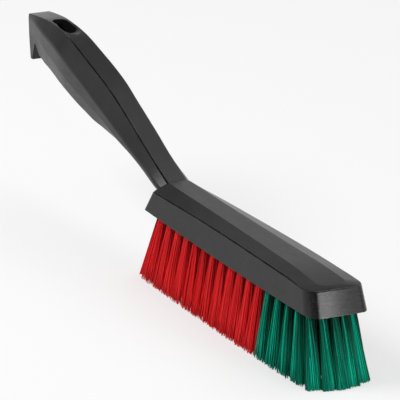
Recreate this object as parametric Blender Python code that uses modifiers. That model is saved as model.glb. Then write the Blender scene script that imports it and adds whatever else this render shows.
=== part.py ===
"""Stiff hand brush, about 330 mm long: a one-piece moulded block and grip, and tufts in drilled holes.

Metres, +Z up, +X towards the nose, the brush standing on its bristle tips. Everything is first placed
from the nose of the block, on the plane y = 0, and an empty then carries it all to the middle of its
own length.
"""
import math
from collections import namedtuple

import bmesh
import bpy
import numpy as np
from mathutils import Matrix, Vector

# Driving sizes
BODY_LENGTH = 0.3316
BRISTLE_LENGTH = 0.036
CLEARANCE = 0.0003
OVERRUN = 0.004

# The tuft block
BLOCK_LENGTH = 0.1742
BLOCK_WIDTH = 0.0356
BLOCK_END_NARROWING = 0.0011
SIDE_HEIGHT = 0.0123
TOP_HEIGHT = 0.0143
SIDE_DRAFT = 0.0018
HEEL_SIDE_INSET = 0.0023
HEEL_SIDE_DROP = 0.0030
NOSE_DRAFT = 0.0045
HEEL_DRAFT = 0.0010
NOSE_BULGE = 0.0020
NOSE_RADIUS = 0.0042
HEEL_RADIUS = 0.0024
TOP_FLAT_WIDTH = 0.0116
TOP_FLAT_SPREAD = 0.0023
TOP_FRONT_SETBACK = 0.0040
TOP_REAR_SETBACK = 0.0030
TOP_CORNER_RADIUS = 0.0035
TOP_BULGE = 0.0013
CROWN_ROLL_LENGTH = 0.0450
CROWN_ROLL_DROP = 0.0022
BLOCK_EDGE_RADIUS = 0.0010
FOOT_EDGE_SHARE = 0.5

# Where the side walls and the crown change, as shares of the block's length behind the nose
INSET_END_SHARE = 0.72
DROP_START_SHARE = 0.25
SPREAD_END_SHARE = 0.80

# The grip, whose table of shares follows its length, rise, width and depth
GRIP_ROOT_SINK = 0.0132
GRIP_RISE = 0.0602
GRIP_WIDTH = 0.0236
GRIP_DEPTH = 0.0268
GRIP_TOP_WIDTH = 0.0112
GRIP_EDGE_RADIUS = 0.0022
GRIP_END_EDGE_SHARE = 0.4

# The slot that the brush hangs by and the dish beside it
SLOT_LENGTH = 0.0185
SLOT_WIDTH = 0.0082
SLOT_SETBACK = 0.0308
DISH_LENGTH = 0.0300
DISH_WIDTH = 0.0135
DISH_DEPTH = 0.0017
DISH_RADIUS = 0.0055
DISH_SHIFT = 0.0050

# The notch under the grip's end, which leaves a beak to hook over a rim
NOTCH_SETBACK = 0.0103
NOTCH_ROOF = 0.0149
NOTCH_RADIUS = 0.0010
NOTCH_PALM_RUN = 0.0049
NOTCH_RUNOUT = 0.0313
NOTCH_RUNOUT_DROP = 0.0139
BEAK_LENGTH = 0.0112
BEAK_TIP_SETBACK = 0.0048

# The tufts and their holes
OUTER_ROW_INSET = 0.0054
FIRST_TUFT_INSET = 0.0146
LAST_TUFT_INSET = 0.0193
HEEL_TUFT_INSET = 0.0066
NOSE_TUFT_INSET = 0.0080
NOSE_ARC_DROP = 0.0032
HEEL_TUFT_SHARE = 0.50
NOSE_INNER_SHARE = 0.51
COLUMNS = 16
GREEN_COLUMNS = 4
HOLE_RADIUS = 0.0021
HOLE_DEPTH = 0.0064
ROOT_RECESS = 0.0004

# How far the middle of a tuft leans at its tip: at the nose, at the heel, and to the sides, where the
# lean eases round the nose
NOSE_LEAN = 0.0122
HEEL_LEAN = 0.0078
SIDE_LEAN = 0.0034
NOSE_SIDE_EASE = 0.0022
NOSE_FAN_LENGTH = 0.060
HEEL_FAN_LENGTH = 0.060

# The strands that stand for a tuft's filaments
STRANDS_IN_RING = 7
TIP_RING_RADIUS = 0.0036
TIP_FILL_SHARE = 0.94
ROOT_RING_SHARE = 0.58
STRAND_ROOT_SHARE = 0.22
STRAND_TIP_RADIUS = 0.0009
STRAND_SIDES = 3
STRAND_GRIP = 0.0008
TIP_TRIM = 0.0005
TUFT_TURN = math.radians(137.5)

# The flat wire anchor in each tuft's fold, its ends standing out towards the wall of the hole
ANCHOR_THICKNESS = 0.0005
ANCHOR_HEIGHT = 0.0014
ANCHOR_DEPTH_SHARE = 0.72
ANCHOR_TURN = math.radians(35)

# Counts that set how finely round forms are faceted
SIDE_STEPS = 14
CORNER_STEPS = 5
FRONT_STEPS = 3
GRIP_STEPS = 26
HOLE_SIDES = 12
ROOT_SIDES = 6
SLOT_STEPS = 10
DISH_SIDES = 24

# Along the grip, from the block to the beak: how far back, how high above the crown of the block, and
# the section's corners. Each corner is a share of half the width, and of the depth below the top face:
# crown edge, widest edge, lower edge, sole edge.
GRIP_SHARES = (
    (0.000, -0.096, 0.82, 0.57, 0.10, 0.53, 0.17, 0.36, 0.24),
    (0.066, 0.015, 0.93, 0.81, 0.15, 0.77, 0.24, 0.54, 0.32),
    (0.166, 0.177, 0.93, 0.77, 0.23, 0.72, 0.33, 0.51, 0.42),
    (0.237, 0.300, 0.96, 0.81, 0.28, 0.74, 0.40, 0.52, 0.50),
    (0.312, 0.431, 0.95, 0.86, 0.30, 0.78, 0.50, 0.54, 0.61),
    (0.385, 0.554, 0.95, 0.92, 0.32, 0.83, 0.54, 0.58, 0.76),
    (0.456, 0.667, 1.00, 0.97, 0.34, 0.87, 0.60, 0.64, 0.89),
    (0.528, 0.755, 1.02, 0.99, 0.32, 0.90, 0.62, 0.68, 0.94),
    (0.606, 0.838, 1.00, 1.00, 0.31, 0.91, 0.66, 0.69, 0.98),
    (0.730, 0.957, 0.94, 0.95, 0.30, 0.87, 0.65, 0.66, 1.00),
    (0.856, 0.996, 0.98, 0.81, 0.23, 0.77, 0.54, 0.59, 0.90),
    (0.936, 0.978, 1.02, 0.69, 0.12, 0.65, 0.41, 0.53, 0.91),
    (1.000, 0.947, 1.07, 0.53, 0.11, 0.53, 0.41, 0.50, 0.92),
)

# How much of the full rounding each long edge of the grip gets, once round its section
GRIP_EDGE_SHARES = (0.45, 1.0, 0.6, 0.8, 0.8, 0.6, 1.0, 0.45)

Tuft = namedtuple("Tuft", "name root tip spread turn green")


def new_collection(name):
    """A collection of its own, linked to the scene."""
    collection = bpy.data.collections.new(name)
    bpy.context.scene.collection.children.link(collection)
    return collection


def plastic(name, colour, roughness, metallic=0.0):
    """A Principled material with one colour."""
    material = bpy.data.materials.new(name)
    material.use_nodes = True
    shader = material.node_tree.nodes["Principled BSDF"]
    shader.inputs["Base Color"].default_value = (*colour, 1.0)
    shader.inputs["Roughness"].default_value = roughness
    shader.inputs["Metallic"].default_value = metallic
    return material


def object_from(name, bm, collection, material=None, smooth_angle=None):
    """Turns a bmesh into an object of the collection."""
    mesh = bpy.data.meshes.new(name)
    bm.to_mesh(mesh)
    bm.free()
    if smooth_angle:
        mesh.shade_smooth()
        mesh.set_sharp_from_angle(angle=smooth_angle)
    if material:
        mesh.materials.append(material)
    item = bpy.data.objects.new(name, mesh)
    collection.objects.link(item)
    return item


def as_cutter(item):
    """Marks an object as a tool that is not part of the product."""
    item.hide_render = True
    item.display_type = "WIRE"
    return item


def flat_cap(bm, row):
    """Closes a level row of points with one face."""
    bm.faces.new(row)


def rolled_cap(bm, row):
    """Closes the crown's row of points: one level face behind the roll, then strips from side to side."""
    count = len(row)
    level = max(i for i in range(count // 2) if row[i].co.x <= -CROWN_ROLL_LENGTH)
    bm.faces.new(row[:level + 1] + row[count - level:])
    for i in range(level, count // 2):
        corners = (row[i], row[i + 1], row[-i - 1], row[-i])
        bm.faces.new(list(dict.fromkeys(corners)))


def loft(rings, weights, end_weights, cap=flat_cap):
    """Skins closed rings with equal counts of points, caps both ends and weights edges for rounding."""
    bm = bmesh.new()
    rows = [[bm.verts.new(point) for point in ring] for ring in rings]
    count = len(rows[0])
    layer = bm.edges.layers.float.new("bevel_weight_edge")
    for lower, upper in zip(rows, rows[1:]):
        for i in range(count):
            j = (i + 1) % count
            bm.faces.new((lower[i], lower[j], upper[j], upper[i]))
    bm.faces.new(rows[0])
    cap(bm, rows[-1])
    for i in range(count):
        j = (i + 1) % count
        for row, weight in ((rows[0], end_weights[0]), (rows[-1], end_weights[1])):
            bm.edges.get((row[i], row[j]))[layer] = weight
    weights(bm, layer, rows)
    bmesh.ops.recalc_face_normals(bm, faces=bm.faces)
    return bm


def add_bevel(item, width):
    """Rounds the weighted edges."""
    bevel = item.modifiers.new("Moulded edges", "BEVEL")
    bevel.limit_method = "WEIGHT"
    bevel.width = width
    bevel.segments = 2
    bevel.use_clamp_overlap = True


def add_boolean(item, tool, operation):
    """Joins or cuts with a tool that stays in the file."""
    boolean = item.modifiers.new(tool.name, "BOOLEAN")
    boolean.operation = operation
    boolean.solver = "EXACT"
    boolean.object = tool


def fused(item, tool):
    """Unites the tool with the item for good and removes the tool."""
    add_boolean(item, tool, "UNION")
    bpy.context.view_layer.update()
    evaluated = item.evaluated_get(bpy.context.evaluated_depsgraph_get())
    mesh = bpy.data.meshes.new_from_object(evaluated)
    item.modifiers.clear()
    item.data = mesh
    bpy.data.objects.remove(tool)
    mesh.name = item.name
    return item


# The block is measured from its nose at x = 0 back to its heel
def block_half_width(x):
    """Half width at the foot of the block, a little bowed along its length."""
    middle = -BLOCK_LENGTH / 2
    bow = (x - middle) / middle
    return BLOCK_WIDTH / 2 - BLOCK_END_NARROWING * bow * bow


def rear_share(x, start_share, end_share=1.0):
    """0 in front of the start, rising evenly to 1 at the end, both given as shares of the block's length."""
    share = (-x / BLOCK_LENGTH - start_share) / (end_share - start_share)
    return min(1.0, max(0.0, share))


def side_half_width(x):
    """Half width at the top of the side wall, which leans in more towards the heel."""
    share = rear_share(x, 0.0, INSET_END_SHARE)
    eased = share * share * (3 - 2 * share)
    return block_half_width(x) - SIDE_DRAFT - HEEL_SIDE_INSET * eased


def side_height(x):
    """Height of the side wall, which falls away towards the heel."""
    return SIDE_HEIGHT - HEEL_SIDE_DROP * rear_share(x, DROP_START_SHARE) ** 2


def top_half_width(x):
    """Half width of the flat crown, which spreads towards the nose."""
    return TOP_FLAT_WIDTH / 2 + TOP_FLAT_SPREAD * (1 - rear_share(x, 0.0, SPREAD_END_SHARE)) ** 2


def crown_height(x):
    """Height of the crown, which is level from the heel on and rolls down towards the nose."""
    rolled = max(0.0, 1 + x / CROWN_ROLL_LENGTH)
    return TOP_HEIGHT - CROWN_ROLL_DROP * rolled * rolled


def half_outline(front, rear, half_width, nose_radius, heel_radius, bulge):
    """One side of a plan outline, from the middle of the heel to the middle of the nose."""
    points = [(rear, 0.0)]
    heel_x = rear + heel_radius
    heel_y = half_width(heel_x) - heel_radius
    for i in range(CORNER_STEPS):
        turn = math.pi / 2 * i / CORNER_STEPS
        points.append((heel_x - heel_radius * math.cos(turn), heel_y + heel_radius * math.sin(turn)))
    nose_x = front - bulge - nose_radius
    for i in range(SIDE_STEPS + 1):
        x = heel_x + (nose_x - heel_x) * i / SIDE_STEPS
        points.append((x, half_width(x)))
    widest = half_width(nose_x)
    nose_y = widest - nose_radius
    for i in range(1, CORNER_STEPS + 1):
        turn = math.pi / 2 * i / CORNER_STEPS
        y = nose_y + nose_radius * math.cos(turn)
        x = nose_x + nose_radius * math.sin(turn)
        points.append((x + bulge * (1 - (y / widest) ** 2), y))
    for i in range(1, FRONT_STEPS + 1):
        y = nose_y * (1 - i / FRONT_STEPS)
        points.append((front - bulge * (y / widest) ** 2, y))
    return points


def full_outline(half, height):
    """Mirrors a half outline and lifts it to a height that may follow x."""
    right = [(x, -y, height(x)) for x, y in half]
    left = [(x, y, height(x)) for x, y in reversed(half[1:-1])]
    return right + left


def make_block(collection):
    """The tuft block: foot outline, top of the side walls and the crown, lofted upwards."""
    foot = half_outline(0.0, -BLOCK_LENGTH, block_half_width, NOSE_RADIUS, HEEL_RADIUS, NOSE_BULGE)
    side_rear = -BLOCK_LENGTH + HEEL_DRAFT
    side = half_outline(
        -NOSE_DRAFT, side_rear, side_half_width, NOSE_RADIUS - SIDE_DRAFT, HEEL_RADIUS, NOSE_BULGE)
    crown = half_outline(
        -NOSE_DRAFT - TOP_FRONT_SETBACK, side_rear + TOP_REAR_SETBACK, top_half_width, TOP_CORNER_RADIUS,
        TOP_CORNER_RADIUS, TOP_BULGE)
    rings = [
        full_outline(foot, lambda x: BRISTLE_LENGTH),
        full_outline(side, lambda x: BRISTLE_LENGTH + side_height(x)),
        full_outline(crown, lambda x: BRISTLE_LENGTH + crown_height(x)),
    ]

    def weigh(bm, layer, rows):
        for row in rows[1:]:
            for i, vertex in enumerate(row):
                bm.edges.get((vertex, row[(i + 1) % len(row)]))[layer] = 1.0

    bm = loft(rings, weigh, end_weights=(FOOT_EDGE_SHARE, 1.0), cap=rolled_cap)
    item = object_from("brush_body", bm, collection, smooth_angle=math.radians(30))
    add_bevel(item, BLOCK_EDGE_RADIUS)
    return item


def smooth_rows(rows, steps):
    """Catmull-Rom curve through rows of numbers, spaced evenly along its first two columns."""
    rows = np.array(rows)
    padded = np.vstack([2 * rows[0] - rows[1], rows, 2 * rows[-1] - rows[-2]])
    fine = []
    for i in range(len(rows) - 1):
        a, b, c, d = padded[i:i + 4]
        for t in np.linspace(0, 1, steps, endpoint=False):
            fine.append(0.5 * (2 * b + (c - a) * t + (2 * a - 5 * b + 4 * c - d) * t ** 2
                               + (3 * b - a - 3 * c + d) * t ** 3))
    fine.append(rows[-1])
    fine = np.array(fine)
    run = np.concatenate([[0.0], np.cumsum(np.linalg.norm(np.diff(fine[:, :2], axis=0), axis=1))])
    stops = np.linspace(0, run[-1], steps + 1)
    return np.stack([np.interp(stops, run, column) for column in fine.T], axis=1)


def grip_rows():
    """The grip's table of shares as lengths, smoothed and spaced evenly along the crown line."""
    root = BLOCK_LENGTH - GRIP_ROOT_SINK
    reach = BODY_LENGTH - root
    climb = GRIP_RISE - TOP_HEIGHT
    width, depth = GRIP_WIDTH / 2, GRIP_DEPTH
    rows = []
    for back, up, crown, wide, wide_down, low, low_down, sole, sole_down in GRIP_SHARES:
        rows.append((
            -root - reach * back, TOP_HEIGHT + climb * up, GRIP_TOP_WIDTH / 2 * crown,
            width * wide, depth * wide_down, width * low, depth * low_down, width * sole, depth * sole_down))
    return smooth_rows(rows, GRIP_STEPS)


def grip_crown(rows, x):
    """Height of the grip's top face above the block's foot at a place along the brush."""
    order = np.argsort(rows[:, 0])
    return float(np.interp(x, rows[order, 0], rows[order, 1]))


def make_grip(collection, rows):
    """The grip: eight-sided sections square to the arched crown line, lofted from the block to the beak."""
    rings = []
    for i, row in enumerate(rows):
        before, after = rows[max(i - 1, 0)], rows[min(i + 1, len(rows) - 1)]
        along = Vector((after[0] - before[0], 0.0, after[1] - before[1])).normalized()
        down = Vector((-along.z, 0.0, along.x))
        top = Vector((row[0], 0.0, row[1] + BRISTLE_LENGTH))
        right = [(row[2], 0.0), (row[3], row[4]), (row[5], row[6]), (row[7], row[8])]
        section = [(-y, fall) for y, fall in right] + [(y, fall) for y, fall in reversed(right)]
        rings.append([top + Vector((0.0, y, 0.0)) + down * fall for y, fall in section])

    def weigh(bm, layer, grid):
        for lower, upper in zip(grid, grid[1:]):
            for a, b, share in zip(lower, upper, GRIP_EDGE_SHARES):
                bm.edges.get((a, b))[layer] = share

    bm = loft(rings, weigh, end_weights=(0.0, GRIP_END_EDGE_SHARE))
    item = as_cutter(object_from("grip_form", bm, collection, smooth_angle=math.radians(30)))
    add_bevel(item, GRIP_EDGE_RADIUS)
    return item


def extruded(name, outline, low, high, axis, collection):
    """A closed outline of (x, other) pairs, extruded along Y or Z from low to high."""
    bm = bmesh.new()
    if axis == "Y":
        vertices = [bm.verts.new((a, low, b)) for a, b in outline]
        travel = Vector((0.0, high - low, 0.0))
    else:
        vertices = [bm.verts.new((a, b, low)) for a, b in outline]
        travel = Vector((0.0, 0.0, high - low))
    face = bm.faces.new(vertices)
    grown = bmesh.ops.extrude_face_region(bm, geom=[face])["geom"]
    moved = [g for g in grown if isinstance(g, bmesh.types.BMVert)]
    bmesh.ops.translate(bm, verts=moved, vec=travel)
    bmesh.ops.recalc_face_normals(bm, faces=bm.faces)
    return as_cutter(object_from(name, bm, collection))


def make_slot(collection, rows):
    """Cutter for the long hole that the brush hangs by, straight down through the grip."""
    middle = SLOT_SETBACK - BODY_LENGTH
    radius = SLOT_WIDTH / 2
    straight = (SLOT_LENGTH - SLOT_WIDTH) / 2
    outline = []
    for centre, start in ((middle + straight, -math.pi / 2), (middle - straight, math.pi / 2)):
        for i in range(SLOT_STEPS + 1):
            turn = start + math.pi * i / SLOT_STEPS
            outline.append((centre + radius * math.cos(turn), radius * math.sin(turn)))
    crown = BRISTLE_LENGTH + grip_crown(rows, middle)
    return extruded(
        "hanging_slot", outline, crown - GRIP_DEPTH - OVERRUN, crown + OVERRUN, "Z", collection)


def make_dish(collection, rows):
    """Cutter for the shallow dish in the top face, in front of the slot."""
    middle = SLOT_SETBACK - BODY_LENGTH + DISH_SHIFT
    ahead = grip_crown(rows, middle + DISH_LENGTH / 2)
    behind = grip_crown(rows, middle - DISH_LENGTH / 2)
    tilt = math.atan2(behind - ahead, DISH_LENGTH)
    bm = bmesh.new()
    bmesh.ops.create_uvsphere(bm, u_segments=DISH_SIDES, v_segments=DISH_SIDES // 2, radius=1.0)
    scale = Matrix.Diagonal((DISH_LENGTH / 2, DISH_WIDTH / 2, DISH_RADIUS, 1.0))
    lift = BRISTLE_LENGTH + grip_crown(rows, middle) + DISH_RADIUS - DISH_DEPTH
    place = Matrix.Translation((middle, 0.0, lift)) @ Matrix.Rotation(tilt, 4, "Y")
    bmesh.ops.transform(bm, matrix=place @ scale, verts=bm.verts)
    return as_cutter(object_from("slot_dish", bm, collection))


def make_notch(collection, rows):
    """Cutter for the notch under the grip's end: down the inside of the beak, and out along the palm side."""
    apex_x = NOTCH_SETBACK - BODY_LENGTH
    tip_x = BEAK_TIP_SETBACK - BODY_LENGTH
    apex = BRISTLE_LENGTH + grip_crown(rows, apex_x) - NOTCH_ROOF
    runout = apex - NOTCH_RUNOUT_DROP
    outline = [
        (tip_x, runout),
        (tip_x, apex - BEAK_LENGTH),
        (apex_x - NOTCH_RADIUS, apex - NOTCH_RADIUS),
        (apex_x, apex),
        (apex_x + NOTCH_RADIUS, apex),
        (apex_x + NOTCH_PALM_RUN, apex - NOTCH_PALM_RUN),
        (apex_x + NOTCH_RUNOUT, runout),
    ]
    return extruded("hook_notch", outline, -GRIP_WIDTH, GRIP_WIDTH, "Y", collection)


def tuft_places():
    """Name, foot of the hole and whether green, for every tuft, from the heel to the nose."""
    first = FIRST_TUFT_INSET - BLOCK_LENGTH
    pitch = (-LAST_TUFT_INSET - first) / (COLUMNS - 1)
    red_columns = COLUMNS - GREEN_COLUMNS
    places = []
    for row, side in (("right", -1), ("left", 1)):
        for i in range(COLUMNS):
            x = first + pitch * i
            y = side * (block_half_width(x) - OUTER_ROW_INSET)
            places.append((row, i + 1, x, y, i >= red_columns))
    for i in range(COLUMNS + 1):
        places.append(("middle", i + 1, first + pitch * i - pitch / 2, 0.0, i > red_columns))
    for i, side in enumerate((-1, 1)):
        y = side * HEEL_TUFT_SHARE * BLOCK_WIDTH / 2
        places.append(("heel", i + 1, HEEL_TUFT_INSET - BLOCK_LENGTH, y, False))
    for i, share in enumerate((-1, -NOSE_INNER_SHARE, 0, NOSE_INNER_SHARE, 1)):
        x = -NOSE_TUFT_INSET - NOSE_ARC_DROP * share * share
        places.append(("nose", i + 1, x, share * (block_half_width(x) - OUTER_ROW_INSET), True))
    return places


def tip_place(x, y):
    """Where the middle of a tuft meets the floor: the ends of the brush fan out, the sides a little."""
    nose = min(1.0, max(0.0, 1 + (x + NOSE_TUFT_INSET) / NOSE_FAN_LENGTH)) ** 2
    heel_start = BLOCK_LENGTH - HEEL_TUFT_INSET - HEEL_FAN_LENGTH
    heel = min(1.0, max(0.0, (-x - heel_start) / HEEL_FAN_LENGTH)) ** 2
    outer = block_half_width(x) - OUTER_ROW_INSET
    aside = y / outer * (SIDE_LEAN - NOSE_SIDE_EASE * nose ** 3)
    return Vector((x + NOSE_LEAN * nose - HEEL_LEAN * heel, y + aside, 0.0))


def plan_tufts():
    """Every tuft, its tips spread until they nearly meet the next ones."""
    places = tuft_places()
    tips = [tip_place(x, y) for row, index, x, y, green in places]
    tufts = []
    for count, (row, index, x, y, green) in enumerate(places):
        nearest = min((tips[count] - tip).length for i, tip in enumerate(tips) if i != count)
        spread = min(TIP_RING_RADIUS, TIP_FILL_SHARE * nearest / 2 - STRAND_TIP_RADIUS)
        name = f"{'green' if green else 'red'}_tuft_{row}_{index:02d}"
        root = Vector((x, y, BRISTLE_LENGTH))
        tufts.append(Tuft(name, root, tips[count], spread, count * TUFT_TURN, green))
    return tufts


def root_radius():
    """Radius of a tuft's root, which clears the flats of its faceted hole."""
    return HOLE_RADIUS * math.cos(math.pi / HOLE_SIDES) - CLEARANCE


def lean_matrix(root, tip):
    """A frame at the mouth of a tuft's hole, its Z running up the hole."""
    axis = (root - tip).normalized()
    turn = Vector((0.0, 0.0, 1.0)).rotation_difference(axis)
    return Matrix.Translation(root) @ turn.to_matrix().to_4x4()


def make_hole_tool(frames, collection):
    """One cutter with a round blind hole for each tuft, in line with its lean."""
    bm = bmesh.new()
    depth = HOLE_DEPTH + OVERRUN
    for frame in frames:
        lift = Matrix.Translation((0.0, 0.0, (HOLE_DEPTH - OVERRUN) / 2))
        bmesh.ops.create_cone(
            bm, cap_ends=True, segments=HOLE_SIDES, radius1=HOLE_RADIUS, radius2=HOLE_RADIUS, depth=depth,
            matrix=frame @ lift)
    return as_cutter(object_from("tuft_holes", bm, collection))


def make_root_mesh(collection):
    """The folded root of a tuft, packed round in its hole, with its anchor across the fold."""
    bm = bmesh.new()
    length = HOLE_DEPTH - CLEARANCE - ROOT_RECESS
    lift = Matrix.Translation((0.0, 0.0, ROOT_RECESS + length / 2))
    bmesh.ops.create_cone(
        bm, cap_ends=True, segments=ROOT_SIDES, radius1=root_radius(), radius2=root_radius(), depth=length,
        matrix=lift)
    root = object_from("root_form", bm, collection)
    bm = bmesh.new()
    size = Matrix.Diagonal((2 * (HOLE_RADIUS - CLEARANCE), ANCHOR_THICKNESS, ANCHOR_HEIGHT, 1.0))
    lift = Matrix.Translation((0.0, 0.0, HOLE_DEPTH * ANCHOR_DEPTH_SHARE))
    turn = Matrix.Rotation(ANCHOR_TURN, 4, "Z")
    bmesh.ops.create_cube(bm, size=1.0, matrix=lift @ turn @ size)
    anchor = object_from("anchor_form", bm, collection)
    mesh = fused(root, anchor).data
    bpy.data.objects.remove(root)
    return mesh


def make_tuft(tuft, frame, root_mesh, material, collection):
    """A tuft: strands that spread evenly from the root they are fused to, cut level at the floor."""
    bm = bmesh.new()
    ring = root_radius() * ROOT_RING_SHARE
    thin = root_radius() * STRAND_ROOT_SHARE
    spots = [(0.0, 0.0)]
    for i in range(STRANDS_IN_RING):
        angle = tuft.turn + 2 * math.pi * i / STRANDS_IN_RING
        spots.append((math.cos(angle), math.sin(angle)))
    for i, (u, v) in enumerate(spots):
        start = frame @ Vector((u * ring, v * ring, ROOT_RECESS + STRAND_GRIP))
        end = tuft.tip + Vector((u, v, 0.0)) * tuft.spread
        along = (start - end).normalized()
        end -= along * (TIP_TRIM / along.z)
        lean = Vector((0.0, 0.0, 1.0)).rotation_difference(along).to_matrix().to_4x4()
        place = Matrix.Translation((start + end) / 2) @ lean @ Matrix.Rotation(tuft.turn + i, 4, "Z")
        bmesh.ops.create_cone(
            bm, cap_ends=True, segments=STRAND_SIDES, radius1=STRAND_TIP_RADIUS, radius2=thin,
            depth=(start - end).length, matrix=place)
    bmesh.ops.bisect_plane(
        bm, geom=bm.verts[:] + bm.edges[:] + bm.faces[:], plane_co=(0.0, 0.0, 0.0), plane_no=(0.0, 0.0, 1.0),
        clear_inner=True)
    bmesh.ops.holes_fill(bm, edges=[edge for edge in bm.edges if edge.is_boundary])
    strands = object_from(tuft.name + "_strands", bm, collection)
    mesh = root_mesh.copy()
    mesh.transform(frame)
    mesh.materials.clear()
    mesh.materials.append(material)
    item = bpy.data.objects.new(tuft.name, mesh)
    collection.objects.link(item)
    return fused(item, strands)


def main():
    for item in list(bpy.data.objects):
        bpy.data.objects.remove(item)
    parts = new_collection("Stiff hand brush")
    tools = new_collection("Cutting forms")
    black = plastic("Black moulded plastic", (0.035, 0.035, 0.036), 0.45)
    red = plastic("Red filament", (0.42, 0.012, 0.016), 0.4)
    green = plastic("Green filament", (0.0, 0.19, 0.10), 0.4)

    root_mesh = make_root_mesh(tools)
    frames = []
    tufts = []
    for tuft in plan_tufts():
        frame = lean_matrix(tuft.root, tuft.tip)
        frames.append(frame)
        tufts.append(make_tuft(tuft, frame, root_mesh, green if tuft.green else red, parts))
    bpy.data.meshes.remove(root_mesh)

    rows = grip_rows()
    body = make_block(parts)
    body.data.materials.append(black)
    add_boolean(body, make_grip(tools, rows), "UNION")
    openings = [make_slot(tools, rows), make_dish(tools, rows), make_notch(tools, rows)]
    for cutter in [make_hole_tool(frames, tools), *openings]:
        add_boolean(body, cutter, "DIFFERENCE")

    reach = max(vertex.co.x for tuft in tufts for vertex in tuft.data.vertices)
    middle = (reach - BODY_LENGTH) / 2
    carrier = bpy.data.objects.new("brush_frame", None)
    parts.objects.link(carrier)
    carrier.location = (-middle, 0.0, 0.0)
    for item in [body, *tufts, *tools.objects]:
        item.parent = carrier
    print(len(tufts), "tufts of", STRANDS_IN_RING + 1, "strands, nose at x =", round(-middle, 6))


main()
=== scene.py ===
# %% [markdown]
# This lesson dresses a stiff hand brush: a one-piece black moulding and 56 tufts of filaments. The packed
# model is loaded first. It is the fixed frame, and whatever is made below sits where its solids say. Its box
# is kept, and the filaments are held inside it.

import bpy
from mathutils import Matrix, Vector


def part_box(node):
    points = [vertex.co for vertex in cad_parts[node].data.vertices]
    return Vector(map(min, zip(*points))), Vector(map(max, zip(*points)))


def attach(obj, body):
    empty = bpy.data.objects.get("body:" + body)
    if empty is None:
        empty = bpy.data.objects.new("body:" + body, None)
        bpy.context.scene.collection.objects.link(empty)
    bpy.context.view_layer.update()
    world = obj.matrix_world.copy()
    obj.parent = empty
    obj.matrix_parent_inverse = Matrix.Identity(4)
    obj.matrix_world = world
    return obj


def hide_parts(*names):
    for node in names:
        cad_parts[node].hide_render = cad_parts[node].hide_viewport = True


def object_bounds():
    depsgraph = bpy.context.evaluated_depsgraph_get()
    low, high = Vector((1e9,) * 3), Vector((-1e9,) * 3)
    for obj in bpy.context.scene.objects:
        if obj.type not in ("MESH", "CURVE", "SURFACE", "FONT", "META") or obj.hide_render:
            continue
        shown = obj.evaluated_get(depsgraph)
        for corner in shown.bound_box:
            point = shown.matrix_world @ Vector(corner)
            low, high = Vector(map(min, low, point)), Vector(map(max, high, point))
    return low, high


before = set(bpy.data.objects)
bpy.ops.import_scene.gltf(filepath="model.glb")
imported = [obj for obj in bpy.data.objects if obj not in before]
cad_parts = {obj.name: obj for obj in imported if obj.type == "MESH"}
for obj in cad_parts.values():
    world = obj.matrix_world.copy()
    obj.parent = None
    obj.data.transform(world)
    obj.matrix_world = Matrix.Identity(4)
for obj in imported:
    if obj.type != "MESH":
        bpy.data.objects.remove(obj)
cad_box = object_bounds()
print("nodes of the frame", len(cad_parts), "box", cad_box)

# %% [markdown]
# Two places on the moulding are wanted again and again: its front end, the nose, and the underside of its
# block, the foot. They could be typed in, but read from the solid they follow when it changes.

# %% Tools and two places for the whole lesson
import math

import bmesh
import bpy
import numpy as np
from mathutils import Matrix, Vector

body_low, body_high = (Vector(corner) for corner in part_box("brush_body"))
nose_x = body_high.x
foot_z = body_low.z
print("nose at x =", round(nose_x, 5), "foot of the block at z =", round(foot_z, 5))

# %% [markdown]
# The brush was pictured from its nose end, a little above the grip, through a long lens. The camera comes
# first, because every later choice is judged through it. A matrix could place it, but a turn, a tilt and a
# roll round the middle of the brush can be changed one at a time.

# %% The camera
CAMERA_TURN = math.radians(61.2938)
CAMERA_TILT = math.radians(19.0241)
CAMERA_ROLL = math.radians(2.1404)
CAMERA_DISTANCE = 2.3372623
CAMERA_LENS = 419.06
AIM_BEHIND_NOSE = 0.1452494
AIM_ABOVE_FOOT = 0.0118336
CAMERA_SIGHT = 50.0


def add_object(name, data):
    """Puts a camera, a mesh or a lamp into the scene as an object."""
    item = bpy.data.objects.new(name, data)
    bpy.context.scene.collection.objects.link(item)
    return item


def place_camera():
    """A long-lens camera that looks at the middle of the brush, rolled a little."""
    aim = Vector((nose_x - AIM_BEHIND_NOSE, 0.0, foot_z + AIM_ABOVE_FOOT))
    level = math.cos(CAMERA_TILT)
    back = Vector((math.sin(CAMERA_TURN) * level, -math.cos(CAMERA_TURN) * level, math.sin(CAMERA_TILT)))
    data = bpy.data.cameras.new("portrait_camera")
    data.lens = CAMERA_LENS
    data.clip_end = CAMERA_SIGHT
    camera = add_object("portrait_camera", data)
    rotation = back.to_track_quat("Z", "Y").to_matrix() @ Matrix.Rotation(CAMERA_ROLL, 3, "Z")
    camera.matrix_world = Matrix.Translation(aim + back * CAMERA_DISTANCE) @ rotation.to_4x4()
    bpy.context.scene.camera = camera
    return camera


bpy.context.scene.view_settings.view_transform = "Standard"
camera = place_camera()
print("camera at", [round(value, 3) for value in camera.location])

# %% [markdown]
# A finish in Blender is a net of shader nodes. It could be wired by hand in the editor, but a net written
# in code is the same each time. The first helper adds a node with its settings and inputs, and the others
# are steps that the nets here use again and again.

# %% Helpers for nodes


def add_node(tree, kind, inputs=None, **settings):
    """Adds a node. An input may be a plain value or another node's output."""
    node = tree.nodes.new(kind)
    for key, value in settings.items():
        setattr(node, key, value)
    for key, value in (inputs or {}).items():
        if isinstance(value, bpy.types.NodeSocket):
            tree.links.new(value, node.inputs[key])
        else:
            node.inputs[key].default_value = value
    return node


def compute(tree, operation, *values):
    """One step of arithmetic on plain numbers or other nodes' outputs."""
    return add_node(tree, "ShaderNodeMath", dict(enumerate(values)), operation=operation).outputs[0]


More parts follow.
